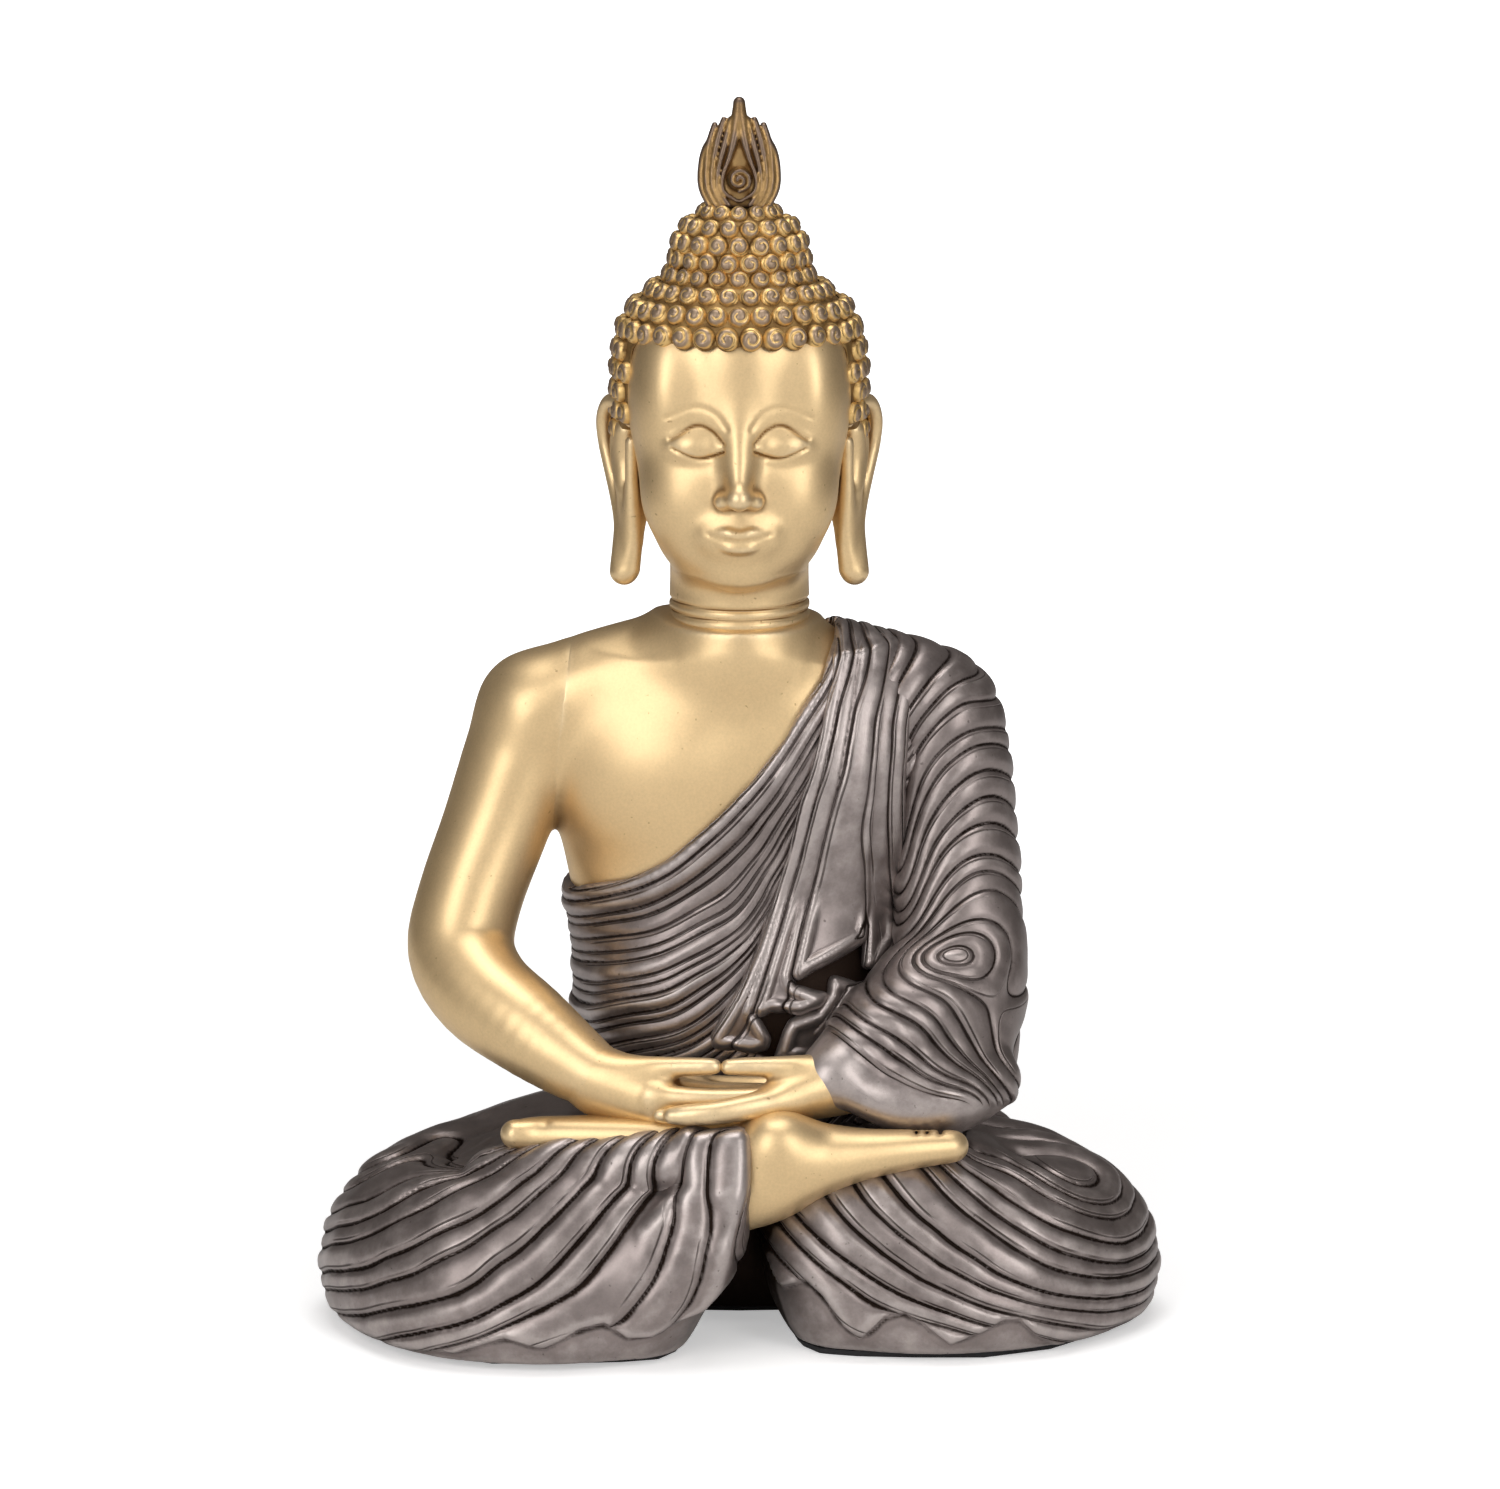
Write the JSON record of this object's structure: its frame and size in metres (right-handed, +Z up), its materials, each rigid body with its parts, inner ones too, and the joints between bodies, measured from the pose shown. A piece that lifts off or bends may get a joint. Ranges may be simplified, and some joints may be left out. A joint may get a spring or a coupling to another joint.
{
  "type": "buddha statue",
  "caption": "Seated figure with crossed legs and hands in its lap, a draped robe, curled hair and a flame finial, glued up from painted castings on a flat felted base.",
  "frame": {"origin": "middle of the felt underside, on the surface that the statue stands on", "axes": "+Z up to the tip of the flame, -Y the way the figure faces, +X to the figure's own left side"},
  "size_m": [0.2056, 0.116, 0.3],
  "materials": {
    "gold_paint": "satin metallic gold paint on cast polyresin",
    "aged_gold_paint": "metallic gold paint on cast polyresin, raised strands and curls dry-brushed taupe, dark wash in the gaps",
    "bronze_paint": "metallic bronze-taupe paint on cast polyresin, brown-black wash in the folds",
    "felt": "pressed felt sheet",
    "board": "plain fibreboard",
    "steel": "plain steel rod"
  },
  "bodies": {
    "root": {"felt_base": "felt", "base_board": "board", "lap": "bronze_paint", "torso": "gold_paint", "robe_wrap": "bronze_paint", "shoulder_sash": "bronze_paint", "left_sleeve": "bronze_paint", "right_arm": "gold_paint", "right_hand": "gold_paint", "left_hand": "gold_paint", "left_foot": "gold_paint", "right_foot": "gold_paint", "head": "gold_paint", "hair_cap": "aged_gold_paint", "right_ear": "gold_paint", "left_ear": "gold_paint", "flame_finial": "aged_gold_paint", "finial_dowel": "steel", "neck_dowel": "steel", "right_shoulder_dowel": "steel", "left_shoulder_dowel": "steel", "right_wrist_dowel": "steel", "left_wrist_dowel": "steel", "right_waist_dowel": "steel", "left_waist_dowel": "steel"}
  },
  "joints": []
}
